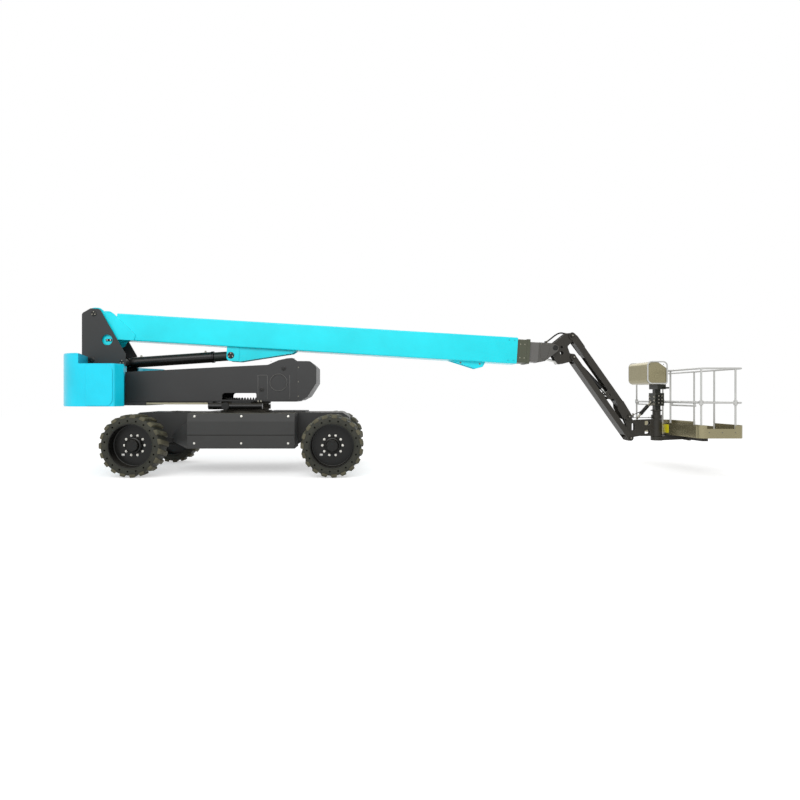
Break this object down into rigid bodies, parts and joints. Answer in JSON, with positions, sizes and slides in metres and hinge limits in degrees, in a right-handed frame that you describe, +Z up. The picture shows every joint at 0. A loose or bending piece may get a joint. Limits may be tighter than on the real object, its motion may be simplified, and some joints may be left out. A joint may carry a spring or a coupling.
{
  "type": "telescopic boom lift",
  "caption": "Self-propelled telescopic boom lift with slewing turntable, extending boom, parallelogram jib and rotating railed platform, stowed level.",
  "frame": {"origin": "on the ground under the middle of the machine's overall box", "axes": "+X along the machine towards the platform, +Y to the left of someone facing that way, +Z up"},
  "size_m": [11.626, 2.49, 2.9959],
  "materials": {
    "chassis_grey": "satin grey paint",
    "turntable_grey": "satin grey paint",
    "boom_blue": "semi-gloss bright blue paint",
    "counterweight_blue": "semi-gloss bright blue paint",
    "mid_section_olive": "satin paint",
    "tip_section_grey": "satin paint",
    "jib_grey": "satin dark paint",
    "cylinder_black": "gloss black paint",
    "rod_chrome": "hard chrome",
    "tyre_rubber": "dull rubber",
    "rim_black": "satin black paint",
    "axle_grey": "painted casting",
    "ring_steel": "greased steel",
    "engine_alloy": "dull",
    "platform_metal": "brushed bare metal",
    "pin_black": "dark paint",
    "rod_olive": "dark plated steel",
    "rail_white": "pale satin paint",
    "console_metal": "polished sheet",
    "control_box": "plain box",
    "hose_rubber": "black hose"
  },
  "bodies": {
    "chassis": {"chassis_frame": "chassis_grey", "chassis_covers": "chassis_grey", "steer_axle": "axle_grey", "drive_axle": "axle_grey", "slew_ring": "ring_steel", "steering_cylinder": "cylinder_black", "tie_down_lugs": "chassis_grey"},
    "steering_rod": {"steering_rod": "rod_chrome"},
    "knuckle_right": {"knuckle_right": "axle_grey"},
    "knuckle_left": {"knuckle_left": "axle_grey"},
    "steer_wheel_right": {"steer_tyre_right": "tyre_rubber", "steer_rim_right": "rim_black"},
    "steer_wheel_left": {"steer_tyre_left": "tyre_rubber", "steer_rim_left": "rim_black"},
    "drive_wheel_right": {"drive_tyre_right": "tyre_rubber", "drive_rim_right": "rim_black"},
    "drive_wheel_left": {"drive_tyre_left": "tyre_rubber", "drive_rim_left": "rim_black"},
    "turntable": {"turntable_deck": "turntable_grey", "turntable_sides": "turntable_grey", "turntable_top_cover": "turntable_grey", "turntable_front_cover": "turntable_grey", "tower_plates": "turntable_grey", "tower_crossmember": "turntable_grey", "turntable_pins": "pin_black", "counterweight": "counterweight_blue", "engine": "engine_alloy", "swing_drive": "cylinder_black", "ground_controls": "control_box"},
    "base_section": {"boom_base": "boom_blue", "boom_tail": "boom_blue", "lift_bracket": "boom_blue"},
    "lift_barrel": {"lift_barrel": "cylinder_black"},
    "lift_rod": {"lift_rod": "rod_olive"},
    "mid_section": {"boom_mid": "mid_section_olive"},
    "tip_section": {"boom_tip": "tip_section_grey", "boom_nose": "jib_grey"},
    "level_barrel": {"level_barrel": "cylinder_black"},
    "level_rod": {"level_rod": "rod_chrome"},
    "knuckle": {"jib_knuckle": "jib_grey", "nose_hose": "hose_rubber"},
    "upper_arm": {"jib_upper_arm": "jib_grey"},
    "lower_arm": {"jib_lower_arm": "jib_grey"},
    "jib_barrel": {"jib_barrel": "cylinder_black"},
    "jib_rod": {"jib_rod": "rod_chrome"},
    "bracket": {"platform_bracket": "jib_grey"},
    "platform": {"platform_rotator": "jib_grey", "platform_support": "jib_grey", "platform_floor": "platform_metal", "toe_boards": "platform_metal", "platform_rails": "rail_white", "console_post": "jib_grey", "control_console": "console_metal", "mid_rails": "rail_white", "rail_posts": "rail_white", "console_frame": "rail_white", "platform_hose": "hose_rubber", "platform_cable": "hose_rubber"},
    "entry_bar_right": {"entry_bar_right": "rail_white"},
    "entry_bar_left": {"entry_bar_left": "rail_white"}
  },
  "joints": [
    {"name": "steer_right", "type": "hinge", "parent": "chassis", "child": "knuckle_right", "pos_m": [-4.48552, -0.72, 0.53], "axis": [0, 0, 1], "range_deg": [-30, 30]},
    {"name": "steer_left", "type": "hinge", "parent": "chassis", "child": "knuckle_left", "pos_m": [-4.48552, 0.72, 0.53], "axis": [0, 0, 1], "range_deg": [-30.03, 30.03]},
    {"name": "steering_rod", "type": "slide", "parent": "chassis", "child": "steering_rod", "axis": [0, 1, 0], "range_m": [-0.0828, 0.0828]},
    {"name": "steer_roll_right", "type": "hinge", "parent": "knuckle_right", "child": "steer_wheel_right", "pos_m": [-4.48552, -1.045, 0.53], "axis": [0, 1, 0], "continuous": true},
    {"name": "steer_roll_left", "type": "hinge", "parent": "knuckle_left", "child": "steer_wheel_left", "pos_m": [-4.48552, 1.045, 0.53], "axis": [0, 1, 0], "continuous": true},
    {"name": "drive_roll_right", "type": "hinge", "parent": "chassis", "child": "drive_wheel_right", "pos_m": [-1.13052, -1.045, 0.53], "axis": [0, 1, 0], "continuous": true},
    {"name": "drive_roll_left", "type": "hinge", "parent": "chassis", "child": "drive_wheel_left", "pos_m": [-1.13052, 1.045, 0.53], "axis": [0, 1, 0], "continuous": true},
    {"name": "slew", "type": "hinge", "parent": "chassis", "child": "turntable", "pos_m": [-2.80802, 0, 1.257], "axis": [0, 0, 1], "continuous": true},
    {"name": "boom_lift", "type": "hinge", "parent": "turntable", "child": "base_section", "pos_m": [-5.55302, 0, 2.878], "axis": [0, -1, 0], "range_deg": [0, 78.45]},
    {"name": "lift_cylinder", "type": "hinge", "parent": "turntable", "child": "lift_barrel", "pos_m": [-5.03902, 0, 1.985], "axis": [0, -1, 0], "range_deg": [0, 73.23]},
    {"name": "lift_rod", "type": "slide", "parent": "lift_barrel", "child": "lift_rod", "axis": [0.9976, 0, 0.0689], "range_m": [0, 1.2828]},
    {"name": "boom_extend", "type": "slide", "parent": "base_section", "child": "mid_section", "axis": [0.9982, 0, -0.0602], "range_m": [0, 5.8]},
    {"name": "boom_tip_extend", "type": "slide", "parent": "mid_section", "child": "tip_section", "axis": [0.9982, 0, -0.0602], "range_m": [0, 5.8029]},
    {"name": "platform_level", "type": "hinge", "parent": "tip_section", "child": "knuckle", "pos_m": [2.96424, 0, 2.26033], "axis": [0, -1, 0], "range_deg": [-78.49, 0]},
    {"name": "level_cylinder", "type": "hinge", "parent": "tip_section", "child": "level_barrel", "pos_m": [2.21079, 0, 2.22561], "axis": [0, -1, 0], "range_deg": [-0.2, 2.53]},
    {"name": "level_rod", "type": "slide", "parent": "level_barrel", "child": "level_rod", "axis": [0.9658, 0, -0.2594], "range_m": [-0.35614, 0]},
    {"name": "jib_lift", "type": "hinge", "parent": "knuckle", "child": "upper_arm", "pos_m": [3.29424, 0, 2.49033], "axis": [0, -1, 0], "range_deg": [0, 125]},
    {"name": "jib_lower", "type": "hinge", "parent": "knuckle", "child": "lower_arm", "pos_m": [3.32124, 0, 2.09033], "axis": [0, -1, 0], "range_deg": [0, 125.06]},
    {"name": "jib_cylinder", "type": "hinge", "parent": "knuckle", "child": "jib_barrel", "pos_m": [3.32124, 0, 2.09033], "axis": [0, -1, 0], "range_deg": [0, 119.88]},
    {"name": "jib_rod", "type": "slide", "parent": "jib_barrel", "child": "jib_rod", "axis": [0.6906, 0, -0.7232], "range_m": [0, 0.70207]},
    {"name": "bracket_level", "type": "hinge", "parent": "upper_arm", "child": "bracket", "pos_m": [4.35702, 0, 0.98096], "axis": [0, -1, 0], "range_deg": [-125.06, 0]},
    {"name": "platform_rotate", "type": "hinge", "parent": "bracket", "child": "platform", "pos_m": [4.92302, 0, 0.8], "axis": [0, 0, 1], "range_deg": [-80, 80]},
    {"name": "entry_right", "type": "slide", "parent": "platform", "child": "entry_bar_right", "axis": [0, 0, 1], "range_m": [0, 0.45]},
    {"name": "entry_left", "type": "slide", "parent": "platform", "child": "entry_bar_left", "axis": [0, 0, 1], "range_m": [0, 0.45]}
  ],
  "couplings": [
    {"joint": "steer_left", "follows": "steer_right", "ratio": 1},
    {"joint": "steering_rod", "follows": "steer_right", "m_per_rad": -0.15756},
    {"joint": "lift_cylinder", "follows": "boom_lift", "ratio": 0.93294},
    {"joint": "lift_rod", "follows": "boom_lift", "m_per_rad": 0.93642},
    {"joint": "boom_tip_extend", "follows": "boom_extend", "ratio": 1},
    {"joint": "platform_level", "follows": "boom_lift", "ratio": -1},
    {"joint": "level_cylinder", "follows": "boom_lift", "ratio": 0.02967},
    {"joint": "level_rod", "follows": "boom_lift", "m_per_rad": -0.25998},
    {"joint": "jib_lower", "follows": "jib_lift", "ratio": 1},
    {"joint": "jib_cylinder", "follows": "jib_lift", "ratio": 0.95857},
    {"joint": "jib_rod", "follows": "jib_lift", "m_per_rad": 0.32164},
    {"joint": "bracket_level", "follows": "jib_lift", "ratio": -1}
  ]
}
